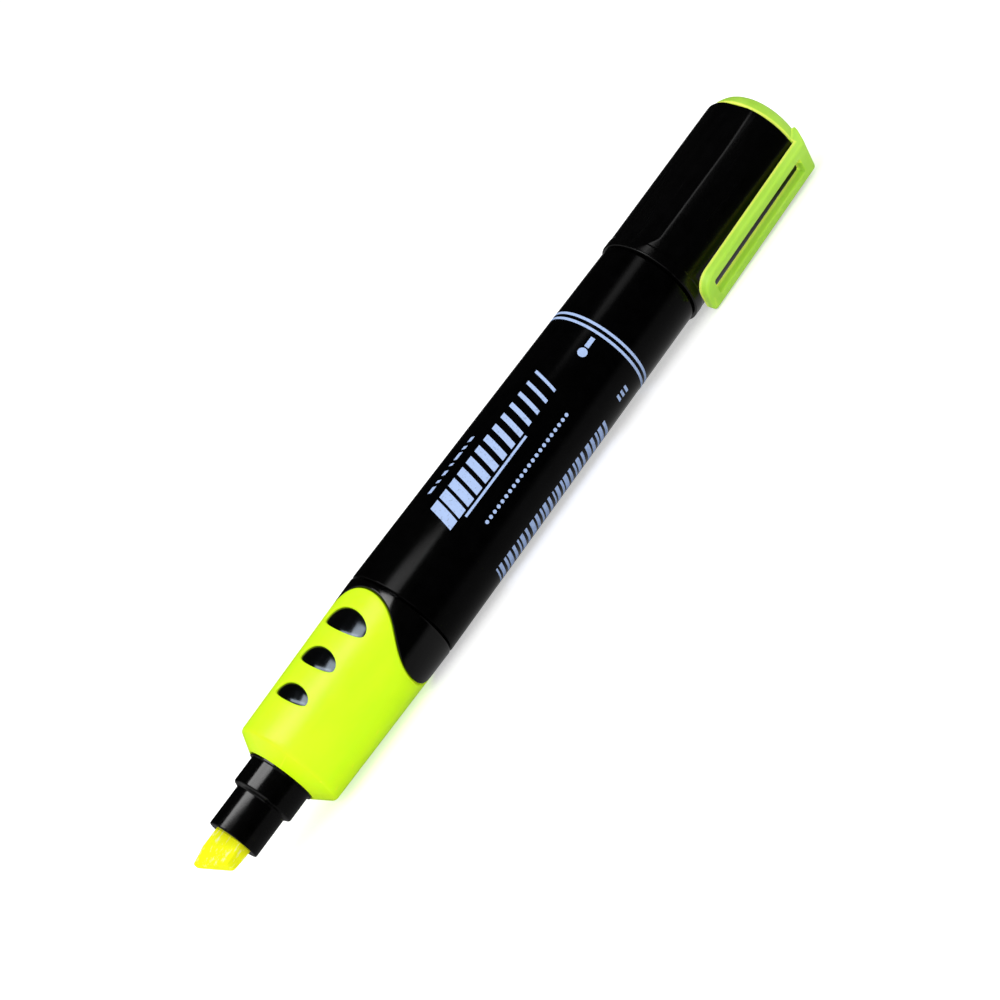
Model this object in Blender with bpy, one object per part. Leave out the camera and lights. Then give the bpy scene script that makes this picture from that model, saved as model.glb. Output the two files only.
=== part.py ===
"""Chisel-nib highlighter, lying on its side with its cap posted on the rear.

The pen is drawn along its own X axis, from the nib's tip to the crown of the
cap, with the clip towards its own +Z and the grip's windows towards +Y and -Y.
An empty then rolls the whole pen about that axis, until it lies on its barrel
and on one edge of the clip, and centres it over the origin.
"""
import math

import bmesh
import bpy
from mathutils import Matrix

MM = 0.001
GAP = 0.3 * MM                      # clearance between neighbouring pieces
OUTER_SEGMENTS = 64
INNER_SEGMENTS = 32

# Stations along the pen, measured from the nib's tip
NOSE_FRONT = 6.0 * MM
NOSE_STEP = 12.4 * MM
COLLAR_FRONT = 16.9 * MM
GRIP_FRONT = 17.1 * MM
GRIP_SHOULDER = 19.0 * MM
SECTION_END = 45.7 * MM
BARREL_FRONT = SECTION_END + GAP
BARREL_END = 109.2 * MM
CAP_LIP = BARREL_END + GAP
CAP_SHELL_END = 138.65 * MM
CROWN_BASE = CAP_SHELL_END + GAP
CROWN_TOP = 142.62 * MM
MIDDLE = 71.05 * MM                 # station that lies over the origin

# Radii
NOSE_RADIUS = 4.03 * MM
STEP_RADIUS = 4.85 * MM
COLLAR_RADIUS = 5.25 * MM
GRIP_FRONT_RADIUS = 8.3 * MM
PEN_RADIUS = 8.8 * MM                # at the joint of section and barrel
BARREL_REAR_RADIUS = 8.2 * MM
CAP_LIP_RADIUS = 8.58 * MM
CAP_FRONT_RADIUS = 8.5 * MM
CAP_REAR_RADIUS = 8.8 * MM
CROWN_RADIUS = 8.45 * MM             # at the crown's base
RESERVOIR_RADIUS = 4.6 * MM

# Walls
SLEEVE_WALL = 1.5 * MM
BARREL_WALL = 1.3 * MM
CAP_WALL = 1.3 * MM
PLUG_WALL = 1.2 * MM
LINER_WALL = 1.0 * MM
FILM_WALL = 0.3 * MM

# Nib: a flat fibre bar cut off at a slant
NIB_WIDTH = 5.4 * MM
NIB_THICKNESS = 3.1 * MM
NIB_TIP_THICKNESS = (1.3 * MM, 2.4 * MM)    # at the long corner and at the short one
NIB_SLANT = 2.5 * MM                # how far the tip's long corner leads the short one
NIB_BEVEL_END = 5.2 * MM
NIB_END = 27.0 * MM
NIB_EDGE = 0.45 * MM

# Wavy rear edge of the grip: two long lobes over the windows, two short ones between
WAVE_MEAN = 41.4 * MM
WAVE_DEPTH = 3.2 * MM
WAVE_FULLNESS = 0.18

# Windows of the grip: front edge, length along the pen, width around it
WINDOWS = (
    (25.2 * MM, 2.8 * MM, 6.5 * MM),
    (31.1 * MM, 3.3 * MM, 7.1 * MM),
    (37.4 * MM, 3.8 * MM, 8.2 * MM),
)
WINDOW_FRONT_SHARE = 0.33           # share of a window's length ahead of its widest line
WINDOW_FRONT_POWER = 0.8            # 1 is an elliptical front edge, 0 a straight one
WINDOW_POINTS = 28
WINDOW_TURN = math.radians(-3.5)    # the windows sit a little to one side of the flats
PAD_RADIUS = 8.4 * MM               # outer radius of the pads seen in the windows
WINDOW_SIDES = (WINDOW_TURN, math.pi + WINDOW_TURN)
FLAT_SIDES = (0.0, math.pi)

# Thumb flats of the cap: a short ramp from the lip, then a long flat that follows the cone.
# Each point is a station and the plane's distance from the axis.
FLAT_PROFILE = (
    (109.7 * MM, 8.58 * MM),
    (112.9 * MM, 7.88 * MM),
    (CAP_SHELL_END, 8.133 * MM),
)

# Crown: a dome round a flat middle, whose shoulder leans down towards the clip
CROWN_FLAT_RADIUS = 3.0 * MM
CROWN_LEAN = 0.05                   # drop per unit of distance towards the clip

# Clip: a slotted bar that leans away from the cap towards its tip
CLIP_HALF_WIDTH = 3.02 * MM
CLIP_ROOT_HEIGHT = 10.5 * MM        # outer face above the pen's axis
CLIP_TIP_HEIGHT = 11.45 * MM
CLIP_THICKNESS = 1.65 * MM
CLIP_FRONT = 110.3 * MM
TIP_CORNERS = (0.6 * MM, 2.8 * MM)  # radii of the tip's corners at -Y and +Y, seen from above
CORNER_STEPS = 5                    # facets of each corner
FOOT = (110.9 * MM, 112.3 * MM)     # nub under the tip
FOOT_HALF_WIDTH = 1.0 * MM
CLIP_PIVOT_HEIGHT = 9.3 * MM        # where the arm bends, above the pen's axis
CLIP_ARM_END = CAP_SHELL_END
SLOT_HALF_WIDTH = 1.4 * MM
SLOT_FRONT = 112.6 * MM
SLOT_END = 137.0 * MM

# Rear stub and liner, which share the nose's diameter
STUB_END = 121.6 * MM
PLUG_FRONT = 101.0 * MM
LINER_FRONT = 111.0 * MM
LINER_END = 132.0 * MM

# How the pen lies
ROLL = math.radians(123.6)
AXIS_HEIGHT = PEN_RADIUS
SIDE_SHIFT = 1.13 * MM


def clear_scene():
    for old in list(bpy.data.objects):
        bpy.data.objects.remove(old, do_unlink=True)


def plastic(name, colour, roughness):
    """A Principled material of one colour."""
    material = bpy.data.materials.new(name)
    material.use_nodes = True
    shader = material.node_tree.nodes["Principled BSDF"]
    shader.inputs["Base Color"].default_value = (*colour, 1.0)
    shader.inputs["Roughness"].default_value = roughness
    shader.inputs["Metallic"].default_value = 0.0
    return material


def add_object(name, bm, material, parent):
    """Turn a bmesh into a smooth-shaded object with crisp edges."""
    bmesh.ops.recalc_face_normals(bm, faces=bm.faces)
    mesh = bpy.data.meshes.new(name)
    bm.to_mesh(mesh)
    bm.free()
    mesh.shade_smooth()
    mesh.set_sharp_from_angle(angle=math.radians(30.0))
    piece = bpy.data.objects.new(name, mesh)
    bpy.context.collection.objects.link(piece)
    piece.parent = parent
    if material:
        mesh.materials.append(material)
    return piece


def boolean(target, cutter, operation):
    """Apply a cutter to a target, and keep it as a hidden guide."""
    cutter.hide_render = True
    cutter.display_type = "WIRE"
    modifier = target.modifiers.new(cutter.name, "BOOLEAN")
    modifier.operation = operation
    modifier.solver = "EXACT"
    modifier.object = cutter


def value_at(value, angle):
    """A profile's coordinate may be a number or a function of the angle."""
    return value(angle) if callable(value) else value


def revolve(profile, segments, closed):
    """Sweep an (x, radius) profile round the X axis.

    A radius of zero makes a pole. A closed profile makes a tube.
    """
    bm = bmesh.new()
    rings = []
    for x, radius in profile:
        if not callable(radius) and radius == 0.0:
            rings.append([bm.verts.new((x, 0.0, 0.0))])
            continue
        ring = []
        for step in range(segments):
            angle = 2.0 * math.pi * step / segments
            r = value_at(radius, angle)
            point = (value_at(x, angle), r * math.cos(angle), r * math.sin(angle))
            ring.append(bm.verts.new(point))
        rings.append(ring)
    pairs = list(zip(rings, rings[1:]))
    if closed:
        pairs.append((rings[-1], rings[0]))
    for near, far in pairs:
        for step in range(segments):
            following = (step + 1) % segments
            corners = []
            for ring, picks in ((near, (step, following)), (far, (following, step))):
                corners.extend(ring[:1] if len(ring) == 1 else [ring[p] for p in picks])
            bm.faces.new(corners)
    return bm


def extrude_outline(outline, offset, normal_axis):
    """Prism from a flat outline: it reaches the same offset to both sides of a plane.

    normal_axis is the axis that the prism runs along: 0, 1 or 2.
    """
    bm = bmesh.new()
    layers = []
    for side in (-offset, offset):
        layer = []
        for first, second in outline:
            point = [first, second]
            point.insert(normal_axis, side)
            layer.append(bm.verts.new(point))
        layers.append(layer)
    bm.faces.new(layers[0])
    bm.faces.new(layers[1])
    count = len(outline)
    for i in range(count):
        j = (i + 1) % count
        bm.faces.new((layers[0][i], layers[0][j], layers[1][j], layers[1][i]))
    return bm


def body_radius(x):
    """Outer radius of the grip and of the skirt behind it, which share one slight cone."""
    share = (x - GRIP_SHOULDER) / (SECTION_END - GRIP_SHOULDER)
    return GRIP_FRONT_RADIUS + (PEN_RADIUS - GRIP_FRONT_RADIUS) * share


def grip_rear(angle):
    """Station of the grip's rear edge at an angle round the pen."""
    wave = math.cos(2.0 * angle)
    return WAVE_MEAN + WAVE_DEPTH * wave * (1.0 + WAVE_FULLNESS * (1.0 - wave * wave))


def skirt_front(angle):
    """Station where the black skirt starts, just behind the grip."""
    return grip_rear(angle) + GAP


def grip_rear_radius(angle):
    return body_radius(grip_rear(angle))


def skirt_front_radius(angle):
    return body_radius(skirt_front(angle))


def window_outline(front, length, width, inset):
    """D shape in the (along, across) plane: a flatter arc ahead, a fuller one behind."""
    lead = length * WINDOW_FRONT_SHARE
    points = []
    for step in range(WINDOW_POINTS):
        turn = 2.0 * math.pi * step / WINDOW_POINTS
        across = math.cos(turn)
        along = math.sin(turn)
        if along < 0.0:
            reach = (lead - inset) * abs(along) ** WINDOW_FRONT_POWER
            points.append((front + lead - reach, (width / 2.0 - inset) * across))
        else:
            reach = (length - lead - inset) * along
            points.append((front + lead + reach, (width / 2.0 - inset) * across))
    return points


def window_prism(name, window, inset, low, high, side, parent):
    """Prism of a window's outline, from one radius to a curved top at another."""
    outline = window_outline(*window, inset)
    bm = bmesh.new()
    floor = [bm.verts.new((x, low, y)) for x, y in outline]
    roof = [bm.verts.new((x, math.sqrt(high * high - y * y), y)) for x, y in outline]
    bm.faces.new(floor)
    centre = bm.verts.new((sum(x for x, _ in outline) / len(outline), high, 0.0))
    for i in range(len(outline)):
        j = (i + 1) % len(outline)
        bm.faces.new((floor[i], floor[j], roof[j], roof[i]))
        bm.faces.new((roof[i], roof[j], centre))
    bmesh.ops.rotate(bm, cent=(0, 0, 0), matrix=Matrix.Rotation(side, 3, "X"), verts=bm.verts)
    return add_object(name, bm, None, parent)


def nib_outline():
    """The nib's cross-section with clearance all round, in the (Y, Z) plane."""
    half_thickness = NIB_THICKNESS / 2.0 + GAP
    half_width = NIB_WIDTH / 2.0 + GAP
    corners = ((-1, -1), (1, -1), (1, 1), (-1, 1))
    return [(y * half_thickness, z * half_width) for y, z in corners]


def nib(parent, material):
    """Flat fibre bar: slanted tip, chisel bevels on both wide faces."""
    half_width = NIB_WIDTH / 2.0
    full = (NIB_THICKNESS, NIB_THICKNESS)
    stations = (
        ((0.0, NIB_SLANT), NIB_TIP_THICKNESS),
        ((NIB_BEVEL_END - NIB_SLANT, NIB_BEVEL_END), full),
        ((NIB_END, NIB_END), full),
    )
    bm = bmesh.new()
    rings = []
    for (long_x, short_x), (long_thickness, short_thickness) in stations:
        corners = (
            (long_x, -long_thickness, -half_width),
            (long_x, long_thickness, -half_width),
            (short_x, short_thickness, half_width),
            (short_x, -short_thickness, half_width),
        )
        rings.append([bm.verts.new((x, y / 2.0, z)) for x, y, z in corners])
    bm.faces.new(rings[0])
    bm.faces.new(rings[-1])
    for near, far in zip(rings, rings[1:]):
        for i in range(4):
            j = (i + 1) % 4
            bm.faces.new((near[i], near[j], far[j], far[i]))
    piece = add_object("nib", bm, material, parent)
    bevel = piece.modifiers.new("edges", "BEVEL")
    bevel.width = NIB_EDGE
    bevel.segments = 2
    bevel.limit_method = "ANGLE"
    bevel.angle_limit = math.radians(40.0)
    return piece


def front_section(parent, material):
    """Nose, core, window pads, skirt and barrel spigot in one moulding."""
    chamfer = 0.3 * MM
    core = GRIP_FRONT_RADIUS - SLEEVE_WALL - GAP
    bore = RESERVOIR_RADIUS + FILM_WALL + 2.0 * GAP
    spigot = PEN_RADIUS - BARREL_WALL - GAP
    spigot_end = SECTION_END + 8.0 * MM
    inner_front = 22.0 * MM
    profile = (
        (NOSE_FRONT, 0.0),
        (NOSE_FRONT, NOSE_RADIUS - chamfer),
        (NOSE_FRONT + chamfer, NOSE_RADIUS),
        (NOSE_STEP, NOSE_RADIUS),
        (NOSE_STEP + 0.6 * MM, STEP_RADIUS),
        (COLLAR_FRONT, STEP_RADIUS),
        (COLLAR_FRONT, COLLAR_RADIUS),
        (GRIP_SHOULDER + GAP, COLLAR_RADIUS),
        (GRIP_SHOULDER + GAP, core),
        (skirt_front, core),
        (skirt_front, skirt_front_radius),
        (SECTION_END, PEN_RADIUS),
        (SECTION_END, spigot),
        (spigot_end, spigot),
        (spigot_end, bore),
        (inner_front, bore),
        (inner_front, 0.0),
    )
    piece = add_object("front_section", revolve(profile, OUTER_SEGMENTS, False), material, parent)
    slot_prism = extrude_outline(nib_outline(), inner_front + 5.0 * MM, 0)
    slot = add_object("nib_slot", slot_prism, None, parent)
    boolean(piece, slot, "DIFFERENCE")
    for side_index, side in enumerate(WINDOW_SIDES):
        for index, window in enumerate(WINDOWS):
            name = f"pad_{side_index}_{index}"
            pad = window_prism(name, window, GAP, core - 0.6 * MM, PAD_RADIUS, side, parent)
            boolean(piece, pad, "UNION")
    return piece


def grip_sleeve(parent, material):
    """Neon sleeve with a chamfered front, windows on two sides and a wavy rear edge."""
    mouth = COLLAR_RADIUS + GAP
    inner = GRIP_FRONT_RADIUS - SLEEVE_WALL
    edge = 0.25 * MM
    profile = (
        (GRIP_FRONT, mouth),
        (GRIP_SHOULDER - edge, GRIP_FRONT_RADIUS - 1.6 * edge),
        (GRIP_SHOULDER + edge, GRIP_FRONT_RADIUS),
        (grip_rear, grip_rear_radius),
        (grip_rear, inner),
        (GRIP_SHOULDER, inner),
        (GRIP_SHOULDER, mouth),
    )
    piece = add_object("grip_sleeve", revolve(profile, OUTER_SEGMENTS, True), material, parent)
    for side_index, side in enumerate(WINDOW_SIDES):
        for index, window in enumerate(WINDOWS):
            name = f"window_{side_index}_{index}"
            cutter = window_prism(name, window, 0.0, 5.0 * MM, PEN_RADIUS + 1.0 * MM, side, parent)
            boolean(piece, cutter, "DIFFERENCE")
    return piece


def barrel(parent, material):
    """Tapered tube."""
    profile = (
        (BARREL_FRONT, PEN_RADIUS),
        (BARREL_END, BARREL_REAR_RADIUS),
        (BARREL_END, BARREL_REAR_RADIUS - BARREL_WALL),
        (BARREL_FRONT, PEN_RADIUS - BARREL_WALL),
    )
    return add_object("barrel", revolve(profile, OUTER_SEGMENTS, True), material, parent)


def ink_reservoir(parent, material):
    """Fibre rod with a socket for the nib's rear end."""
    front = NIB_END - 3.0 * MM
    end = 97.0 * MM
    edge = 0.5 * MM
    profile = (
        (front, 0.0),
        (front, RESERVOIR_RADIUS - edge),
        (front + edge, RESERVOIR_RADIUS),
        (end - edge, RESERVOIR_RADIUS),
        (end, RESERVOIR_RADIUS - edge),
        (end, 0.0),
    )
    piece = add_object("ink_reservoir", revolve(profile, INNER_SEGMENTS, False), material, parent)
    socket_prism = extrude_outline(nib_outline(), NIB_END + GAP, 0)
    socket = add_object("nib_socket", socket_prism, None, parent)
    boolean(piece, socket, "DIFFERENCE")
    return piece


def reservoir_film(parent, material):
    """Thin wrap round the reservoir."""
    inner = RESERVOIR_RADIUS + GAP
    front = NIB_END - 2.4 * MM
    end = 96.4 * MM
    profile = (
        (front, inner + FILM_WALL),
        (end, inner + FILM_WALL),
        (end, inner),
        (front, inner),
    )
    return add_object("reservoir_film", revolve(profile, INNER_SEGMENTS, True), material, parent)


def end_plug(parent, material):
    """Plug in the barrel's rear, with the hollow stub that the posted cap grips."""
    seat = BARREL_REAR_RADIUS - BARREL_WALL - GAP
    chamfer = 0.6 * MM
    profile = (
        (PLUG_FRONT, seat),
        (BARREL_END, seat),
        (BARREL_END, STEP_RADIUS),
        (STUB_END - chamfer, STEP_RADIUS),
        (STUB_END, STEP_RADIUS - chamfer),
        (STUB_END, 0.0),
        (STUB_END - PLUG_WALL, 0.0),
        (STUB_END - PLUG_WALL, STEP_RADIUS - PLUG_WALL),
        (BARREL_END - PLUG_WALL, STEP_RADIUS - PLUG_WALL),
        (BARREL_END - PLUG_WALL, seat - PLUG_WALL),
        (PLUG_FRONT, seat - PLUG_WALL),
    )
    return add_object("end_plug", revolve_cup(profile, INNER_SEGMENTS), material, parent)


def revolve_cup(profile, segments):
    """Sweep a profile that crosses the axis twice, so it closes on itself outside."""
    poles = [i for i, (_, radius) in enumerate(profile) if not callable(radius) and radius == 0.0]
    start = poles[1]
    ordered = profile[start:] + profile[: poles[0] + 1]
    return revolve(ordered, segments, False)


def cut_thumb_flats(piece, parent):
    """Plane off both sides of the cap, behind its lip."""
    (front_x, front_reach), (start_x, start_reach), (end_x, end_reach) = FLAT_PROFILE
    beyond = 5.0 * MM
    depth = 2.0 * MM
    rise = (end_reach - start_reach) / (end_x - start_x)
    outline = (
        (front_x, front_reach),
        (start_x, start_reach),
        (end_x + beyond, end_reach + rise * beyond),
        (end_x + beyond, end_reach + depth),
        (front_x, front_reach + depth),
    )
    for side_index, side in enumerate(FLAT_SIDES):
        bm = extrude_outline(outline, 6.0 * MM, 2)
        turn = Matrix.Rotation(side, 3, "X")
        bmesh.ops.rotate(bm, cent=(0, 0, 0), matrix=turn, verts=bm.verts)
        cutter = add_object(f"{piece.name}_flat_{side_index}", bm, None, parent)
        boolean(piece, cutter, "DIFFERENCE")


def cap_shell(parent, material):
    """Cap tube with a fuller lip and a thumb flat on each side."""
    lip_end = CAP_LIP + 1.6 * MM
    edge = 0.2 * MM
    inner = CAP_REAR_RADIUS - CAP_WALL - GAP
    profile = (
        (CAP_LIP, CAP_LIP_RADIUS - edge),
        (CAP_LIP + edge, CAP_LIP_RADIUS),
        (lip_end, CAP_LIP_RADIUS),
        (lip_end + edge, CAP_FRONT_RADIUS),
        (CAP_SHELL_END - 0.5 * MM, CAP_REAR_RADIUS),
        (CAP_SHELL_END, CAP_REAR_RADIUS - 0.25 * MM),
        (CAP_SHELL_END, inner),
        (CAP_LIP, inner),
    )
    piece = add_object("cap_shell", revolve(profile, OUTER_SEGMENTS, True), material, parent)
    cut_thumb_flats(piece, parent)
    return piece


def cap_liner(parent, material):
    """Sealing cup inside the cap: its mouth faces the nib or the stub."""
    bore = STEP_RADIUS + GAP
    outer = bore + LINER_WALL
    flange = CAP_REAR_RADIUS - CAP_WALL - 2.0 * GAP
    lead = 0.5 * MM
    flange_front = LINER_END - 1.6 * MM
    profile = (
        (LINER_FRONT, bore + lead),
        (LINER_FRONT, outer),
        (flange_front, outer),
        (flange_front, flange),
        (LINER_END, flange),
        (LINER_END, 0.0),
        (LINER_END - LINER_WALL, 0.0),
        (LINER_END - LINER_WALL, bore),
        (LINER_FRONT + lead, bore),
    )
    return add_object("cap_liner", revolve_cup(profile, INNER_SEGMENTS), material, parent)


def cap_crown(parent, material):
    """Domed plug in the cap's end, with the lug that carries the clip."""
    seat = CAP_REAR_RADIUS - CAP_WALL - 2.0 * GAP
    seat_front = 133.0 * MM
    profile = (
        (seat_front, seat),
        (CROWN_BASE, seat),
        (CROWN_BASE, CROWN_RADIUS),
        (CROWN_BASE + 0.75 * MM, CROWN_RADIUS - 0.23 * MM),
        (CROWN_BASE + 1.5 * MM, CROWN_RADIUS - 0.62 * MM),
        (CROWN_BASE + 2.25 * MM, CROWN_RADIUS - 1.28 * MM),
        (CROWN_BASE + 2.9 * MM, CROWN_RADIUS - 2.35 * MM),
        (CROWN_BASE + 3.4 * MM, CROWN_RADIUS - 3.85 * MM),
        (CROWN_TOP, CROWN_FLAT_RADIUS),
        (CROWN_TOP, 0.0),
        (CROWN_BASE + 1.8 * MM, 0.0),
        (CROWN_BASE + 1.0 * MM, seat - PLUG_WALL),
        (seat_front, seat - PLUG_WALL),
    )
    dome = revolve_cup(profile, OUTER_SEGMENTS)
    for vert in dome.verts:
        share = (vert.co.x - CROWN_BASE) / (CROWN_TOP - CROWN_BASE)
        off_axis = math.hypot(vert.co.y, vert.co.z)
        if share > 0.0 and off_axis > CROWN_FLAT_RADIUS + GAP:
            vert.co.x -= CROWN_LEAN * share * vert.co.z
    piece = add_object("cap_crown", dome, material, parent)
    lug_outline = (
        (CROWN_BASE, 7.6 * MM),
        (CROWN_BASE, CLIP_ROOT_HEIGHT),
        (CROWN_BASE + 0.5 * MM, CLIP_ROOT_HEIGHT - 0.1 * MM),
        (CROWN_BASE + 2.6 * MM, 7.1 * MM),
    )
    bm = extrude_outline(lug_outline, CLIP_HALF_WIDTH, 1)
    lug = add_object("clip_lug", bm, None, parent)
    boolean(piece, lug, "UNION")
    return piece


def clip_height(x):
    """Outer face of the clip above the pen's axis at a station."""
    share = (CLIP_ARM_END - x) / (CLIP_ARM_END - CLIP_FRONT)
    return CLIP_ROOT_HEIGHT + (CLIP_TIP_HEIGHT - CLIP_ROOT_HEIGHT) * share


def clip_plan():
    """The clip seen from above: straight sides, one crisp and one round tip corner."""
    points = [(CLIP_ARM_END, CLIP_HALF_WIDTH), (CLIP_ARM_END, -CLIP_HALF_WIDTH)]
    turns = (math.radians(270.0), math.radians(180.0))
    for side, radius, start in zip((-1.0, 1.0), TIP_CORNERS, turns):
        for step in range(CORNER_STEPS + 1):
            turn = start - math.pi / 2.0 * step / CORNER_STEPS
            x = CLIP_FRONT + radius + radius * math.cos(turn)
            y = side * (CLIP_HALF_WIDTH - radius) + radius * math.sin(turn)
            points.append((x, y))
    return points


def clip(hinge, material):
    """Slotted bar that leans away from the cap, with a nub under its tip."""
    lip_clearance = CAP_LIP_RADIUS + GAP
    edge = 0.5 * MM
    outline = (
        (CLIP_FRONT, clip_height(CLIP_FRONT) - CLIP_THICKNESS),
        (CLIP_FRONT, clip_height(CLIP_FRONT) - edge),
        (CLIP_FRONT + edge, clip_height(CLIP_FRONT + edge)),
        (CLIP_ARM_END, CLIP_ROOT_HEIGHT),
        (CLIP_ARM_END, CLIP_ROOT_HEIGHT - CLIP_THICKNESS),
    )
    root = hinge.location
    bm = extrude_outline([(x - root.x, h - root.z) for x, h in outline], CLIP_HALF_WIDTH, 1)
    piece = add_object("clip", bm, material, hinge)

    inside = clip_height(CLIP_FRONT) - CLIP_THICKNESS / 2.0
    foot_outline = (
        (FOOT[0], inside),
        (FOOT[0], lip_clearance + edge),
        (FOOT[0] + edge, lip_clearance),
        (FOOT[1] - edge, lip_clearance),
        (FOOT[1], lip_clearance + edge),
        (FOOT[1], inside),
    )
    bm = extrude_outline([(x - root.x, h - root.z) for x, h in foot_outline], FOOT_HALF_WIDTH, 1)
    foot = add_object("clip_foot", bm, None, hinge)
    boolean(piece, foot, "UNION")

    plan = [(x - root.x, y) for x, y in clip_plan()]
    plan_guide = add_object("clip_plan", extrude_outline(plan, 6.0 * MM, 2), None, hinge)
    boolean(piece, plan_guide, "INTERSECT")

    slot_outline = (
        (SLOT_FRONT - root.x, -SLOT_HALF_WIDTH),
        (SLOT_END - root.x, -SLOT_HALF_WIDTH),
        (SLOT_END - root.x, SLOT_HALF_WIDTH),
        (SLOT_FRONT - root.x, SLOT_HALF_WIDTH),
    )
    slot = add_object("clip_slot", extrude_outline(slot_outline, 6.0 * MM, 2), None, hinge)
    boolean(piece, slot, "DIFFERENCE")

    room = (
        (CAP_LIP - 2.0 * MM, 0.0),
        (CAP_LIP - 2.0 * MM, lip_clearance),
        (CAP_LIP + 4.0 * MM, lip_clearance),
        (CAP_SHELL_END + 2.0 * MM, CAP_REAR_RADIUS + GAP),
        (CAP_SHELL_END + 2.0 * MM, 0.0),
    )
    cap_room = add_object("cap_room", revolve(room, OUTER_SEGMENTS, False), None, hinge.parent)
    boolean(piece, cap_room, "DIFFERENCE")
    return piece


def empty(name, parent, location):
    """A named frame that pieces hang from."""
    frame = bpy.data.objects.new(name, None)
    bpy.context.collection.objects.link(frame)
    frame.parent = parent
    frame.location = location
    return frame


def main():
    clear_scene()
    neon = plastic("neon_plastic", (0.68, 1.0, 0.03), 0.35)
    black_gloss = plastic("black_gloss_plastic", (0.006, 0.006, 0.007), 0.15)
    black_satin = plastic("black_satin_plastic", (0.008, 0.008, 0.009), 0.4)
    pale = plastic("pale_plastic", (0.75, 0.75, 0.72), 0.45)
    nib_fibre = plastic("nib_fibre", (1.0, 0.95, 0.05), 0.8)
    ink_fibre = plastic("ink_fibre", (0.8, 0.9, 0.1), 0.9)

    pen = empty("pen", None, (-MIDDLE, SIDE_SHIFT, AXIS_HEIGHT))
    pen.rotation_euler = (ROLL, 0.0, 0.0)
    cap = empty("cap", pen, (0.0, 0.0, 0.0))
    clip_root = empty("clip_root", cap, (CLIP_ARM_END, 0.0, CLIP_PIVOT_HEIGHT))

    nib(pen, nib_fibre)
    front_section(pen, black_gloss)
    grip_sleeve(pen, neon)
    barrel(pen, black_satin)
    ink_reservoir(pen, ink_fibre)
    reservoir_film(pen, pale)
    end_plug(pen, black_satin)
    cap_shell(cap, black_satin)
    cap_liner(cap, pale)
    cap_crown(cap, neon)
    clip(clip_root, neon)


main()
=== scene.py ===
"""Looks of a chisel-nib highlighter that lies with its cap posted on the rear.

The pen is drawn in its own frame, in millimetres: X runs from the nib's tip to
the crown, +Y towards the grip's windows and +Z towards the clip. PEN places
that frame in the CAD's frame. Angles round the pen are measured from +Y to +Z.
"""

import math

import bmesh
import bpy
from mathutils import Matrix, Vector, noise
from mathutils.geometry import delaunay_2d_cdt


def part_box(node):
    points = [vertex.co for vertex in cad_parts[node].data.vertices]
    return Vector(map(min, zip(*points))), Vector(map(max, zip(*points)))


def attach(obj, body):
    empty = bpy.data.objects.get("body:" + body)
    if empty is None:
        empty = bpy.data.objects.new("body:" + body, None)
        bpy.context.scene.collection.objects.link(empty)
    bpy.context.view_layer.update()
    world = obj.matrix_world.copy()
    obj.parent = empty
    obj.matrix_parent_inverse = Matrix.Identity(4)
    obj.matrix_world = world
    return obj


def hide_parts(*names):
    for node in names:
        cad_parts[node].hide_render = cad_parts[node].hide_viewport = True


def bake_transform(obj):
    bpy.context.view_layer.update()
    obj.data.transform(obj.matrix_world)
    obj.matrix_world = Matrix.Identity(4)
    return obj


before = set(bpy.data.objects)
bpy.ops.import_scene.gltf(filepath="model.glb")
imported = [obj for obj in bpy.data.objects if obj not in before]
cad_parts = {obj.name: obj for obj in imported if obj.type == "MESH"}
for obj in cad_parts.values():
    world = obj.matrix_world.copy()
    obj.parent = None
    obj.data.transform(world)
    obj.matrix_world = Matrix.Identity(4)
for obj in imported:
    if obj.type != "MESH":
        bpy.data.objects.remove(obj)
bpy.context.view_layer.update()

MM = 0.001
SEGMENTS = 256
ROUND_STEPS = 5

# Stations along the pen, in millimetres from the nib's tip
CROWN_TOP = 142.62
NOSE_FRONT = 6.0
NOSE_STEP = 12.4
COLLAR_FRONT = 16.9
GRIP_FRONT = 17.1
GRIP_SHOULDER = 19.0
SECTION_END = 45.7
BARREL_FRONT = 46.0
BARREL_END = 109.2
CAP_LIP = 109.5
CAP_SHELL_END = 138.65
CROWN_BASE = 138.95
SPIGOT_LENGTH = 8.0
INNER_BORE_START = 22.0
PLUG_START = 101.0
STUB_END = 121.6
LINER_FRONT = 111.0
LINER_END = 132.0
CROWN_SEAT_START = 133.0

# Radii
NOSE_RADIUS = 4.03
STEP_RADIUS = 4.85
COLLAR_RADIUS = 5.25
CORE_RADIUS = 6.5
INNER_BORE_RADIUS = 5.5
SLEEVE_INNER = 6.8
GRIP_FRONT_RADIUS = 8.3
PEN_RADIUS = 8.8
BARREL_REAR_RADIUS = 8.2
BARREL_WALL = 1.3
CAP_LIP_RADIUS = 8.58
CAP_FRONT_RADIUS = 8.5
CAP_REAR_RADIUS = 8.8
CAP_INNER = 7.2
REAR_SEAT = CAP_REAR_RADIUS - BARREL_WALL - 0.6
CROWN_RADIUS = 8.45
CROWN_LEAN = 0.05

# Thumb flats of the cap: stations and the plane's distance from the axis there
FLAT_PROFILE = ((109.7, 8.58), (112.9, 7.88), (131.0, 8.06), (CAP_SHELL_END, 8.3))

# Nib
NIB_HALF_WIDTH = 2.7
NIB_THICKNESS = 3.1
NIB_TIP_THICKNESS = (1.3, 2.4)
NIB_SLANT = 2.5
NIB_BEVEL = 2.7
NIB_ROWS = (0.7, 1.0, 1.4, 1.8, 2.2, 2.5, 2.7, 2.9, 3.2, 3.6, 4.2, 5.0, 6.0, 8.0, 12.0, 24.5)
NIB_SQUARENESS = 0.22
NIB_RIDGE_DEPTH = 0.05

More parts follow.
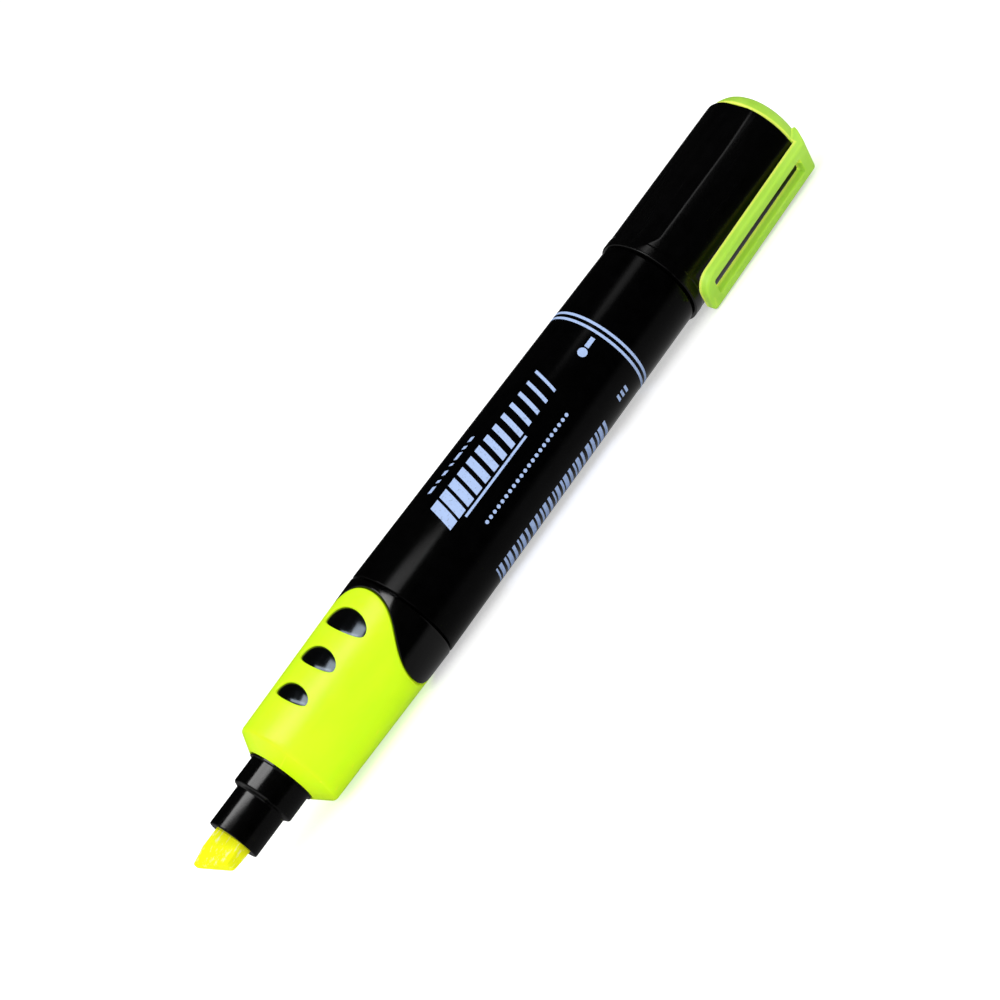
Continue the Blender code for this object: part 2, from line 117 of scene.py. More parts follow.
# Wavy rear edge of the grip, and the windows: front edge, length, width
WAVE_MEAN = 41.4
WAVE_DEPTH = 3.2
WAVE_FULLNESS = 0.18
WINDOWS = ((25.2, 2.8, 6.5), (31.1, 3.3, 7.1), (37.4, 3.8, 8.2))
WINDOW_FRONT_SHARE = 0.33
WINDOW_FRONT_POWER = 0.8
WINDOW_POINTS = 72
WINDOW_TURN = math.radians(-3.5)
WINDOW_SIDES = (WINDOW_TURN, math.pi + WINDOW_TURN)
PAD_SINK = 0.3
PAD_CROWN = 0.1

# Clip: its tip's corners are the radii on the -Y and the +Y side
CLIP_FRONT = 110.3
CLIP_HALF_WIDTH = 3.02
CLIP_ROOT_HEIGHT = 10.5
CLIP_TIP_HEIGHT = 11.45
CLIP_THICKNESS = 1.65
TIP_CORNERS = (0.7, 2.8)
FOOT_CENTRE = 111.6
FOOT_FLOOR = 8.95
LUG_SLOPE_START = 139.15
LUG_END = 141.55
LUG_CORNER = 0.9
LUG_SLOPE = 1.42
SLOT = (112.6, 137.0, 1.4)

# Print: how far it stands out of the barrel and reaches in, and the two rings
PRINT_LIFT = 0.02
PRINT_SINK = 0.06
RING_STATIONS = (95.2, 96.2)
RING_HALF_WIDTH = 0.22

# The pen's frame in the CAD's frame
ROLL = math.radians(123.6)
barrel_low, barrel_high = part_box("barrel")
crown_low, crown_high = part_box("cap_crown")
axis_point = (barrel_low + barrel_high) / 2.0
PEN = Matrix.Translation((crown_high.x - CROWN_TOP * MM, axis_point.y, axis_point.z))
PEN = PEN @ Matrix.Rotation(ROLL, 4, "X")


# ---------------------------------------------------------------- mesh tools

def finish_piece(name, bm, material, body, nodes=(), sharp=35.0):
    """Turns a bmesh in millimetres into a piece that rides on a CAD body."""
    bmesh.ops.recalc_face_normals(bm, faces=bm.faces)
    mesh = bpy.data.meshes.new(name)
    bm.to_mesh(mesh)
    bm.free()
    mesh.transform(PEN @ Matrix.Scale(MM, 4))
    mesh.shade_smooth()
    mesh.set_sharp_from_angle(angle=math.radians(sharp))
    mesh.materials.append(material)
    piece = bpy.data.objects.new(name, mesh)
    bpy.context.collection.objects.link(piece)
    if body:
        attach(piece, body)
    if nodes:
        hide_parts(*nodes)
    return piece


def rounded(corners, closed=True):
    """Rounds a path of (x, radius, cut) corners; cut is the length lost on each side."""
    points = []
    count = len(corners)
    for i, (x, r, cut) in enumerate(corners):
        end = not closed and i in (0, count - 1)
        if cut == 0.0 or end:
            points.append((x, r))
            continue
        here = Vector((x, r))
        before = Vector(corners[i - 1][:2]) - here
        after = Vector(corners[(i + 1) % count][:2]) - here
        start = here + before.normalized() * min(cut, before.length * 0.49)
        stop = here + after.normalized() * min(cut, after.length * 0.49)
        for step in range(ROUND_STEPS + 1):
            t = step / ROUND_STEPS
            point = start * (1 - t) ** 2 + here * (2 * t * (1 - t)) + stop * t * t
            points.append((point.x, point.y))
    return points


def lathe(path, closed=True, segments=SEGMENTS):
    """Sweeps path(angle), a list of (x, radius), round the X axis. Radius 0 is a pole."""
    bm = bmesh.new()
    poles = {}
    columns = []
    for step in range(segments):
        angle = 2.0 * math.pi * step / segments
        column = []
        for index, (x, r) in enumerate(path(angle)):
            if r == 0.0:
                if index not in poles:
                    poles[index] = bm.verts.new((x, 0.0, 0.0))
                column.append(poles[index])
            else:
                column.append(bm.verts.new((x, r * math.cos(angle), r * math.sin(angle))))
        columns.append(column)
    count = len(columns[0])
    rows = count if closed else count - 1
    for step in range(segments):
        near = columns[step]
        far = columns[(step + 1) % segments]
        for i in range(rows):
            j = (i + 1) % count
            corners = list(dict.fromkeys((near[i], near[j], far[j], far[i])))
            if len(corners) > 2:
                bm.faces.new(corners)
    return bm


def skin(bm, rings):
    """Faces between closed rings of vertices that follow each other."""
    for near, far in zip(rings, rings[1:]):
        count = len(near)
        for i in range(count):
            j = (i + 1) % count
            bm.faces.new((near[i], near[j], far[j], far[i]))


def round_over(size):
    """(distance from the edge, drop) pairs of a quarter-round, from the edge inwards."""
    turns = [math.pi / 2.0 * step / ROUND_STEPS for step in range(ROUND_STEPS + 1)]
    return [(size * (1.0 - math.cos(t)), size * (1.0 - math.sin(t))) for t in turns]


def triangulate(points, loops, keep):
    """Triangles over 2-D points, with the loops of point numbers as fixed edges."""
    edges = []
    for loop in loops:
        edges.extend(zip(loop, loop[1:] + loop[:1]))
    _, _, faces, origin, _, _ = delaunay_2d_cdt([Vector(p) for p in points], edges, [], 0, 1e-7)
    triangles = []
    for face in faces:
        corners = [origin[v][0] for v in face]
        x = sum(points[c][0] for c in corners) / 3.0
        y = sum(points[c][1] for c in corners) / 3.0
        if keep(x, y):
            triangles.append(corners)
    return triangles


def thick_sheet(triangles, top, bottom, open_edge=None, glow=None):
    """Closed shell from one set of triangles: a top, a bottom and the walls between.

    glow maps a point's number to how much painted edge highlight and painted glow it gets above and
    below.
    """
    bm = bmesh.new()
    # Marks for painted highlight and painted glow, read by the neon material
    painted_edge_glow = bm.verts.layers.float.new("painted_edge_glow")
    used = sorted({corner for triangle in triangles for corner in triangle})
    upper = {i: bm.verts.new(top[i]) for i in used}
    lower = {i: bm.verts.new(bottom[i]) for i in used}
    for i, (above, below) in (glow or {}).items():
        if i in upper:
            upper[i][painted_edge_glow] = above
            lower[i][painted_edge_glow] = below
    sides = {}
    for a, b, c in triangles:
        bm.faces.new((upper[a], upper[b], upper[c]))
        bm.faces.new((lower[a], lower[c], lower[b]))
        for edge in ((a, b), (b, c), (c, a)):
            sides.setdefault(frozenset(edge), []).append(edge)
    for found in sides.values():
        if len(found) == 1:
            a, b = found[0]
            if open_edge is None or not open_edge(a, b):
                bm.faces.new((upper[a], lower[a], lower[b], upper[b]))
    return bm


# ---------------------------------------------------------------- shader tools

def add(tree, kind, inputs=None, **settings):
    """Adds a shader node; its inputs are values or other nodes' sockets."""
    node = tree.nodes.new(kind)
    for key, value in settings.items():
        setattr(node, key, value)
    for key, value in (inputs or {}).items():
        if isinstance(value, bpy.types.NodeSocket):
            tree.links.new(value, node.inputs[key])
        else:
            node.inputs[key].default_value = value
    return node


def grain(tree, scale, detail=3.0, stretch=(1.0, 1.0, 1.0), roughness=0.55):
    """Noise in the piece's own frame; scale is in features per metre."""
    place = add(tree, "ShaderNodeTexCoord").outputs["Object"]
    mapped = add(tree, "ShaderNodeMapping", {"Vector": place, "Scale": stretch})
    inputs = {
        "Vector": mapped.outputs["Vector"],
        "Scale": scale,
        "Detail": detail,
        "Roughness": roughness,
    }
    return add(tree, "ShaderNodeTexNoise", inputs).outputs["Fac"]


def remap(tree, value, low, high, to_low, to_high):
    """Maps low..high of a value to to_low..to_high and clamps it there."""
    inputs = {
        "Value": value,
        "From Min": low,
        "From Max": high,
        "To Min": to_low,
        "To Max": to_high,
    }
    return add(tree, "ShaderNodeMapRange", inputs).outputs["Result"]


def blend_colours(tree, factor, first, second):
    """First colour at factor 0, second at factor 1."""
    node = add(tree, "ShaderNodeMix", {0: factor, 6: first, 7: second}, data_type="RGBA")
    return node.outputs[2]


def rgba(colour):
    return (*colour, 1.0)


def edges(tree, low=0.53, high=0.62):
    """One on convex edges, nothing on flat faces."""
    point = add(tree, "ShaderNodeNewGeometry").outputs["Pointiness"]
    return remap(tree, point, low, high, 0.0, 1.0)


def bump(tree, height, distance, normal=None):
    """Relief of a height pattern, on top of another normal if one is given."""
    inputs = {"Height": height, "Distance": distance, "Strength": 1.0}
    if normal is not None:
        inputs["Normal"] = normal
    return add(tree, "ShaderNodeBump", inputs).outputs["Normal"]


def material(name, build, **constants):
    """A Principled material: build links its varied inputs, constants are set as they are."""
    made = bpy.data.materials.new(name)
    made.use_nodes = True
    tree = made.node_tree
    shader = tree.nodes["Principled BSDF"]
    for key, value in constants.items():
        shader.inputs[key.replace("_", " ")].default_value = value
    for key, socket in build(tree).items():
        tree.links.new(socket, shader.inputs[key])
    return made


# How much stronger the painted glow is on vertices marked with painted_edge_glow
PAINTED_GLOW_EDGE_FACTOR = 2.2


def neon_plastic(light, deep, edge, painted_glow_strength, edge_low, edge_high):
    """Translucent fluorescent plastic: cloudy colour and fine grain, with sharp edges painted pale
    as highlights and an emission that paints a glow.

    edge is the painted highlight colour of sharp edges and of the vertices marked with
    painted_edge_glow.
    """
    def build(tree):
        cloud = remap(tree, grain(tree, 260.0, 3.0, (0.35, 1.0, 1.0)), 0.35, 0.68, 0.0, 1.0)
        colour = blend_colours(tree, cloud, rgba(deep), rgba(light))
        # Painted highlight: sharp convex edges take the pale edge colour
        colour = blend_colours(tree, edges(tree, edge_low, edge_high), colour, rgba(edge))
        # Painted highlight and painted glow on the vertices marked for it
        painted_glow_marks = add(tree, "ShaderNodeAttribute", attribute_name="painted_edge_glow").outputs["Fac"]
        glow = remap(tree, painted_glow_marks, 0.5, 0.95, 0.0, 1.0)
        colour = blend_colours(tree, glow, colour, rgba(edge))
        rough = remap(tree, grain(tree, 1400.0), 0.3, 0.7, 0.28, 0.42)
        fine = bump(tree, grain(tree, 7000.0, 2.0), 0.000012)
        flow = grain(tree, 420.0, 2.0, (0.2, 1.0, 1.0))
        return {
            "Base Color": colour,
            "Roughness": rough,
            # Emission strength: a painted glow, stronger on the marked vertices
            "Emission Strength": remap(tree, glow, 0.0, 1.0, painted_glow_strength, PAINTED_GLOW_EDGE_FACTOR * painted_glow_strength),
            "Normal": bump(tree, flow, 0.00003, fine),
        }
    return build


def black_plastic(rough_low, rough_high, grain_depth):
    """Black moulded plastic: fine grain, long faint scuffs, and convex edges painted a little
    lighter as highlights.
    """
    def build(tree):
        tone = remap(tree, grain(tree, 500.0), 0.3, 0.7, 0.0, 1.0)
        dark, lighter = (0.0003, 0.0003, 0.0003), (0.0009, 0.0009, 0.001)
        colour = blend_colours(tree, tone, rgba(dark), rgba(lighter))
        # Painted highlight: convex edges a little lighter than the rest
        colour = blend_colours(tree, edges(tree), colour, rgba((0.003, 0.003, 0.0032)))
        scuffs = grain(tree, 900.0, 6.0, (0.06, 1.0, 1.0), 0.7)
        rough = remap(tree, scuffs, 0.35, 0.7, rough_low, rough_high)
        fine = bump(tree, grain(tree, 6000.0, 2.0), grain_depth)
        return {"Base Color": colour, "Roughness": rough,
                "Normal": bump(tree, scuffs, grain_depth, fine)}
    return build


def fibre(light, deep, pale):
    """Felted fibre: streaks along the pen, with loose pale strands."""
    def build(tree):
        streaks = grain(tree, 3200.0, 4.0, (0.12, 1.0, 1.0), 0.6)
        strands = grain(tree, 1500.0, 5.0, (0.35, 1.0, 1.0), 0.7)
        streaked = remap(tree, streaks, 0.35, 0.65, 0.0, 1.0)
        loose = remap(tree, strands, 0.56, 0.66, 0.0, 0.75)
        colour = blend_colours(tree, streaked, rgba(deep), rgba(light))
        colour = blend_colours(tree, loose, colour, rgba(pale))
        rough = remap(tree, streaks, 0.3, 0.7, 0.75, 0.95)
        return {"Base Color": colour, "Roughness": rough,
                "Normal": bump(tree, streaks, 0.00006)}
    return build


def plain_moulding(light, deep, rough_low, rough_high):
    """Unpainted moulding that sits inside the pen."""
    def build(tree):
        tone = remap(tree, grain(tree, 350.0), 0.3, 0.7, 0.0, 1.0)
        colour = blend_colours(tree, tone, rgba(deep), rgba(light))
        rough = remap(tree, grain(tree, 1100.0), 0.3, 0.7, rough_low, rough_high)
        return {"Base Color": colour, "Roughness": rough,
                "Normal": bump(tree, grain(tree, 5000.0, 2.0), 0.00001)}
    return build


def print_ink(tree):
    """Pale blue-white pad print, a little thin in places."""
    thin = remap(tree, grain(tree, 2600.0, 4.0), 0.42, 0.3, 0.0, 0.5)
    colour = blend_colours(tree, thin, rgba((0.42, 0.56, 0.88)), rgba((0.10, 0.14, 0.24)))
    rough = remap(tree, grain(tree, 3000.0), 0.3, 0.7, 0.45, 0.65)
    return {"Base Color": colour, "Roughness": rough,
            "Normal": bump(tree, grain(tree, 4000.0, 2.0), 0.000008)}


# Both neon materials carry an emission colour: a painted glow, as if lit
NEON = material(
    "neon_plastic",
    neon_plastic((0.68, 1.0, 0.004), (0.62, 0.98, 0.001), (0.8, 1.0, 0.03), 0.14, 0.56, 0.7),
    Subsurface_Weight=0.3, Subsurface_Radius=(1.0, 1.2, 0.3), Subsurface_Scale=0.0012,
    Specular_IOR_Level=0.35, Emission_Color=(0.6, 0.9, 0.0, 1.0))
NEON_CAP = material(
    "neon_cap_plastic",
    neon_plastic((0.44, 0.74, 0.085), (0.36, 0.66, 0.05), (0.88, 0.97, 0.12), 0.2, 0.56, 0.66),
    Subsurface_Weight=0.6, Subsurface_Radius=(1.0, 1.2, 0.4), Subsurface_Scale=0.0015,
    Specular_IOR_Level=0.4, Emission_Color=(0.36, 0.58, 0.06, 1.0))
BLACK_GLOSS = material(
    "black_gloss_plastic", black_plastic(0.1, 0.2, 0.000004), Specular_IOR_Level=0.5)
PAD_GLOSS = material(
    "pad_gloss_plastic", black_plastic(0.12, 0.18, 0.000002), Specular_IOR_Level=0.9,
    Specular_Tint=(0.72, 0.85, 1.0, 1.0))
BLACK_SATIN = material(
    "black_satin_plastic", black_plastic(0.14, 0.24, 0.000006), Specular_IOR_Level=0.1)
CAP_BLACK = material(
    "cap_black_plastic", black_plastic(0.16, 0.3, 0.000006), Specular_IOR_Level=0.3)
NIB_FIBRE = material(
    "nib_fibre", fibre((1.0, 1.0, 0.004), (0.92, 0.98, 0.0), (1.0, 1.0, 0.5)),
    Subsurface_Weight=0.2, Subsurface_Radius=(1.0, 1.0, 0.3), Subsurface_Scale=0.0006,
    Specular_IOR_Level=0.2)
INK_FIBRE = material("ink_fibre", fibre((0.75, 0.85, 0.08), (0.6, 0.75, 0.03), (0.9, 0.95, 0.5)))
FILM = material("clear_film", plain_moulding((0.8, 0.82, 0.8), (0.7, 0.73, 0.72), 0.15, 0.3))
PALE = material("pale_plastic", plain_moulding((0.74, 0.74, 0.71), (0.66, 0.66, 0.63), 0.35, 0.5))
INK_PRINT = material("pad_print", print_ink, Specular_IOR_Level=0.3)


# ---------------------------------------------------------------- shapes

def body_radius(x):
    """Outer radius of the grip and of the skirt behind it."""
    share = (x - GRIP_SHOULDER) / (SECTION_END - GRIP_SHOULDER)
    return GRIP_FRONT_RADIUS + (PEN_RADIUS - GRIP_FRONT_RADIUS) * share


def barrel_radius(x):
    """Outer radius of the tapered barrel."""
    share = (x - BARREL_FRONT) / (BARREL_END - BARREL_FRONT)
    return PEN_RADIUS + (BARREL_REAR_RADIUS - PEN_RADIUS) * share


def grip_rear(angle):
    """Station of the grip's rear edge at an angle round the pen."""
    wave = math.cos(2.0 * angle)
    return WAVE_MEAN + WAVE_DEPTH * wave * (1.0 + WAVE_FULLNESS * (1.0 - wave * wave))


def window_point(window, turn, inset):
    """Point of a window's outline as (along, across): flatter ahead, fuller behind."""
    front, length, width = window
    lead = length * WINDOW_FRONT_SHARE
    across = (width / 2.0 - inset) * math.cos(turn)
    along = math.sin(turn)
    if along < 0.0:
        return front + lead - (lead - inset) * abs(along) ** WINDOW_FRONT_POWER, across
    return front + lead + (length - lead - inset) * along, across


def nib_slot(angle, room):
    """Radius of the nose's opening: a rectangle with round corners."""
    across = abs(math.cos(angle)) / (NIB_THICKNESS / 2.0 + room)
    along = abs(math.sin(angle)) / (NIB_HALF_WIDTH + room)
    return (across ** 9 + along ** 9) ** (-1.0 / 9)


def make_nib():
    """Fibre bar with a slanted tip, two chisel bevels and fine ridges along it."""
    around = 200
    bm = bmesh.new()

    def ring(behind, inset, scale):
        made = []
        for step in range(around):
            turn = 2.0 * math.pi * step / around
            c, s = math.cos(turn), math.sin(turn)
            a = math.copysign(abs(c) ** NIB_SQUARENESS, c)
            b = math.copysign(abs(s) ** NIB_SQUARENESS, s)
            z = b * (NIB_HALF_WIDTH - inset) * scale
            share = z / (2.0 * NIB_HALF_WIDTH) + 0.5
            tip = NIB_TIP_THICKNESS[0] + (NIB_TIP_THICKNESS[1] - NIB_TIP_THICKNESS[0]) * share
            full = tip + (NIB_THICKNESS - tip) * min(behind / NIB_BEVEL, 1.0)
            x = 0.1 + NIB_SLANT * share + behind
            y = a * (full / 2.0 - inset) * scale
            ridge = abs(noise.noise(Vector((y * 3.4, z * 3.4, x * 0.35))))
            y -= NIB_RIDGE_DEPTH * ridge * a
            z -= NIB_RIDGE_DEPTH * ridge * b
            made.append(bm.verts.new((x, y, z)))
        return made

    edge = round_over(0.3)
    rings = [ring(0.0, edge[0][1], scale) for scale in (0.1, 0.3, 0.5, 0.7, 0.88)]
    rings += [ring(drop, distance, 1.0) for distance, drop in reversed(edge)]
    rings += [ring(length, 0.0, 1.0) for length in NIB_ROWS]
    skin(bm, rings)
    bm.faces.new(rings[0])
    bm.faces.new(rings[-1])
    return bm


def section_path(angle):
    """Nose, step, collar, core, wavy skirt and spigot as one path."""
    opening = nib_slot(angle, 0.1)
    front = grip_rear(angle) + 0.15
    spigot = PEN_RADIUS - BARREL_WALL - 0.3
    return rounded((
        (INNER_BORE_START, opening, 0.0),
        (NOSE_FRONT, opening, 0.12),
        (NOSE_FRONT, NOSE_RADIUS, 0.25),
        (NOSE_STEP, NOSE_RADIUS, 0.15),
        (NOSE_STEP + 0.35, STEP_RADIUS, 0.28),
        (COLLAR_FRONT, STEP_RADIUS, 0.08),
        (COLLAR_FRONT, COLLAR_RADIUS, 0.12),
        (GRIP_SHOULDER + 0.3, COLLAR_RADIUS, 0.0),
        (GRIP_SHOULDER + 0.3, CORE_RADIUS, 0.0),
        (front, CORE_RADIUS, 0.0),
        (front, body_radius(front), 0.3),
        (SECTION_END, PEN_RADIUS, 0.25),
        (SECTION_END, spigot, 0.0),
        (SECTION_END + SPIGOT_LENGTH, spigot, 0.3),
        (SECTION_END + SPIGOT_LENGTH, INNER_BORE_RADIUS, 0.0),
        (INNER_BORE_START, INNER_BORE_RADIUS, 0.0),
    ))


def make_pads():
    """Domed glossy pads, one in each window of the grip."""
    bm = bmesh.new()
    shells = (0.97, 0.9, 0.8, 0.65, 0.45, 0.22)
    for side in WINDOW_SIDES:
        for window in WINDOWS:
            middle = window[0] + window[1] * 0.5
            rings = []
            surface = body_radius(middle)
            levels = [(1.0, CORE_RADIUS - 0.5), (1.0, surface - PAD_SINK)]
            for share in shells:
                levels.append((share, surface - PAD_SINK + PAD_CROWN * (1.0 - share ** 4)))
            for share, radius in levels:
                ring = []
                for step in range(WINDOW_POINTS):
                    turn = 2.0 * math.pi * step / WINDOW_POINTS
                    along, across = window_point(window, turn, 0.03)
                    along = middle + (along - middle) * share
                    across *= share
                    angle = side + math.asin(across / radius)
                    ring.append(bm.verts.new(
                        (along, radius * math.cos(angle), radius * math.sin(angle))))
                rings.append(ring)
            skin(bm, rings)
            bm.faces.new(rings[0])
            peak = surface - PAD_SINK + PAD_CROWN
            top = bm.verts.new((middle, peak * math.cos(side), peak * math.sin(side)))
            for i in range(WINDOW_POINTS):
                bm.faces.new((rings[-1][i], rings[-1][(i + 1) % WINDOW_POINTS], top))
    return bm


def make_grip():
    """Neon sleeve: rounded rims round its windows and along its wavy rear edge."""
    columns = 240
    rows = 44
    start = GRIP_SHOULDER + 0.4
    seam = -math.pi / 2.0
    unroll = 8.5  # radius at which the sleeve is laid out flat for its triangles
    rim = round_over(0.28)
    window_rim = round_over(0.12)
    points, radii, loops = [], [], []

    def put(x, angle, drop):
        points.append((x, angle * unroll))
        radii.append(body_radius(x) - drop)
        return len(points) - 1

    grid = []
    last = rim[-1][0]
    for column in range(columns + 1):
        angle = seam + 2.0 * math.pi * column / columns
        rear = grip_rear(angle)
        line = []
        for row in range(rows + 1):
            x = start + (rear - last - start) * row / rows
            line.append((x, angle, 0.0))
        for distance, drop in reversed(rim[:-1]):
            line.append((rear - distance, angle, drop))
        grid.append(line)

    windows = [(side, window) for side in WINDOW_SIDES for window in WINDOWS]

    def in_window(x, angle, grow):
        for side, window in windows:
            turn = (angle - side + math.pi) % (2.0 * math.pi) - math.pi
            across = body_radius(x) * math.sin(turn)
            front, length, width = window
            if abs(turn) > 1.2 or abs(across) >= width / 2.0 + grow:
                continue
            lead = length * WINDOW_FRONT_SHARE
            along = x - front - lead
            reach = (lead + grow) if along < 0.0 else (length - lead + grow)
            lift = abs(along) / reach
            lift = lift ** (1.0 / WINDOW_FRONT_POWER) if along < 0.0 else lift
            if lift ** 2 + (across / (width / 2.0 + grow)) ** 2 < 1.0:
                return True
        return False

    numbers = []
    for line in grid:
        column = []
        for index, (x, angle, drop) in enumerate(line):
            if in_window(x, angle, window_rim[-1][0] + 0.12):
                column.append(None)
            else:
                column.append(put(x, angle, drop))
        numbers.append(column)
    outline = [column[0] for column in numbers]
    outline += numbers[-1][1:]
    outline += [column[-1] for column in reversed(numbers[:-1])]
    outline += list(reversed(numbers[0][1:-1]))
    loops.append(outline)
    for side, window in windows:
        for distance, drop in window_rim:
            loop = []
            for step in range(WINDOW_POINTS):
                turn = 2.0 * math.pi * step / WINDOW_POINTS
                x, across = window_point(window, turn, -distance)
                loop.append(put(x, side + math.asin(across / body_radius(x)), drop))
            loops.append(loop)

    triangles = triangulate(points, loops, lambda x, s: not in_window(x, s / unroll, 0.0))
    twin = dict(zip(numbers[-1], numbers[0]))
    triangles = [[twin.get(corner, corner) for corner in triangle] for triangle in triangles]
    front_side = {column[0] for column in numbers}

    def place(index, radius):
        x, s = points[index]
        return x, radius * math.cos(s / unroll), radius * math.sin(s / unroll)

    top = {i: place(i, radii[i]) for i in range(len(points))}
    bottom = {i: place(i, SLEEVE_INNER) for i in range(len(points))}
    bm = thick_sheet(triangles, top, bottom, lambda a, b: a in front_side and b in front_side)

    mouth = rounded((
        (start, SLEEVE_INNER, 0.0),
        (GRIP_SHOULDER, SLEEVE_INNER, 0.0),
        (GRIP_SHOULDER, COLLAR_RADIUS + 0.15, 0.0),
        (GRIP_FRONT, COLLAR_RADIUS + 0.15, 0.2),
        (GRIP_SHOULDER - 0.1, GRIP_FRONT_RADIUS - 0.12, 0.3),
        (start, body_radius(start), 0.0),
    ), closed=False)
    rings = []
    for x, radius in mouth:
        ring = []
        for column in range(columns):
            angle = seam + 2.0 * math.pi * column / columns
            ring.append(bm.verts.new((x, radius * math.cos(angle), radius * math.sin(angle))))
        rings.append(ring)
    skin(bm, rings)
    bmesh.ops.remove_doubles(bm, verts=bm.verts, dist=0.0005)
    return bm


def barrel_path(angle):
    """Tapered tube, open at both ends."""
    return rounded((
        (BARREL_FRONT, PEN_RADIUS, 0.3),
        (BARREL_END, BARREL_REAR_RADIUS, 0.25),
        (BARREL_END, BARREL_REAR_RADIUS - BARREL_WALL, 0.0),
        (BARREL_FRONT, PEN_RADIUS - BARREL_WALL, 0.0),
    ))


def plug_path(angle):
    """Plug in the barrel's rear with the hollow stub behind it."""
    seat = BARREL_REAR_RADIUS - BARREL_WALL - 0.3
    end = STUB_END
    wall = 1.2
    return rounded((
        (end, 0.0, 0.0),
        (end, STEP_RADIUS, 0.6),
        (BARREL_END, STEP_RADIUS, 0.15),
        (BARREL_END, seat, 0.15),
        (PLUG_START, seat, 0.1),
        (PLUG_START, seat - wall, 0.1),
        (BARREL_END - wall, seat - wall, 0.0),
        (BARREL_END - wall, STEP_RADIUS - wall, 0.0),
        (end - wall, STEP_RADIUS - wall, 0.0),
        (end - wall, 0.0, 0.0),
    ), closed=False)


def liner_path(angle):
    """Sealing cup inside the cap, with a flange at its closed end."""
    bore = STEP_RADIUS + 0.3
    outer = bore + 1.0
    flange = REAR_SEAT
    front, end = LINER_FRONT, LINER_END
    return rounded((
        (end, 0.0, 0.0),
        (end, flange, 0.2),
        (end - 1.6, flange, 0.2),
        (end - 1.6, outer, 0.2),
        (front, outer, 0.3),
        (front, bore + 0.5, 0.2),
        (front + 0.5, bore, 0.2),
        (end - 1.0, bore, 0.0),
        (end - 1.0, 0.0, 0.0),
    ), closed=False)


def soft_least(a, b, blend):
    """The smaller of two values, with a smooth change-over."""
    h = max(0.0, min(1.0, 0.5 + 0.5 * (b - a) / blend))
    return b + (a - b) * h - blend * h * (1.0 - h)


def flat_radius(x, angle):
    """Distance of the thumb flat's surface from the axis, measured at an angle."""
    facing = abs(math.cos(angle))
    if facing < 0.5 or x < FLAT_PROFILE[0][0] - 0.3 or x > CAP_SHELL_END + 0.1:
        return 20.0
    reach = None
    for (near_x, near_reach), (far_x, far_reach) in zip(FLAT_PROFILE, FLAT_PROFILE[1:]):
        plane = near_reach + (far_reach - near_reach) * (x - near_x) / (far_x - near_x)
        reach = plane if reach is None else -soft_least(-reach, -plane, 0.08)
    return reach / facing


def with_flats(points, angle):
    """Cuts the outside of a path of (x, radius) points down to the thumb flats."""
    made = []
    for x, r in points:
        if r > CAP_INNER + 0.4:
            r = soft_least(r, flat_radius(x, angle), 0.05)
        made.append((x, r))
    return made


def cap_path(angle):
    """Cap tube with a fuller lip, a scooped start to each flat and a rounded end."""
    outer = rounded((
        (CAP_LIP, CAP_INNER, 0.2),
        (CAP_LIP, CAP_LIP_RADIUS, 0.25),
        (CAP_LIP + 1.6, CAP_LIP_RADIUS, 0.12),
        (CAP_LIP + 1.85, CAP_FRONT_RADIUS, 0.12),
        (CAP_SHELL_END, CAP_REAR_RADIUS, 0.4),
        (CAP_SHELL_END, CAP_INNER, 0.0),
    ))
    made = []
    for (x, r), (next_x, next_r) in zip(outer, outer[1:]):
        made.append((x, r))
        if r > 8.4 and next_x - x > 0.5:
            stations = [109.9 + 0.15 * i for i in range(25)]
            stations += [114.0 + 1.0 * i for i in range(24)]
            for station in stations:
                if x < station < next_x:
                    made.append((station, r + (next_r - r) * (station - x) / (next_x - x)))
    made.append(outer[-1])
    return with_flats(made, angle)


def crown_path(angle):
    """Dome, a little lower on the clip's side, with a hollow plug that sits in the cap."""
    seat = REAR_SEAT
    start = CROWN_SEAT_START
    profile = (
        (-0.15, 0.1),
        (0.0, 0.02),
        (0.4, 0.1),
        (0.75, 0.22),
        (1.1, 0.39),
        (1.5, 0.62),
        (1.9, 0.92),
        (2.25, 1.28),
        (2.6, 1.78),
        (2.9, 2.35),
        (3.15, 3.0),
        (3.4, 3.85),
        (3.5, 4.7),
        (3.58, 5.6),
    )
    dome = []
    for rise, drop in profile:
        r = CROWN_RADIUS - drop
        height = max(rise, 0.0) / (CROWN_TOP - CROWN_BASE)
        lean = CROWN_LEAN * height * min(1.0, (r - 2.5) / 1.5)
        dome.append((CROWN_BASE + rise - lean * r * math.sin(angle), r))
    dome.append((CROWN_TOP, 2.0))
    dome.append((CROWN_TOP, 0.0))
    inner = [
        (CROWN_BASE + 1.8, 0.0),
        (CROWN_BASE + 1.0, seat - 1.2),
        (start, seat - 1.2),
        (start, seat),
        (CROWN_BASE - 0.15, seat),
    ]
    return inner + dome


def make_crown():
    """Crown whose edge next to the black cap gets a painted highlight and a painted glow."""
    bm = lathe(crown_path)
    painted_edge_glow = bm.verts.layers.float.new("painted_edge_glow")
    # Painted highlight and glow: a band along the crown's base edge
    for vert in bm.verts:
        if math.hypot(vert.co.y, vert.co.z) > CROWN_RADIUS - 0.5:
            vert[painted_edge_glow] = max(0.0, 1.0 - (vert.co.x - CROWN_BASE) / 0.7)
    return bm


def clip_top(x):
    """Outer face of the clip and its lug above the pen's axis, along the middle."""
    share = (CAP_SHELL_END - x) / (CAP_SHELL_END - CLIP_FRONT)
    height = CLIP_ROOT_HEIGHT + (CLIP_TIP_HEIGHT - CLIP_ROOT_HEIGHT) * share
    slope = CLIP_ROOT_HEIGHT - LUG_SLOPE * (x - LUG_SLOPE_START)
    return soft_least(height, slope, 0.5)


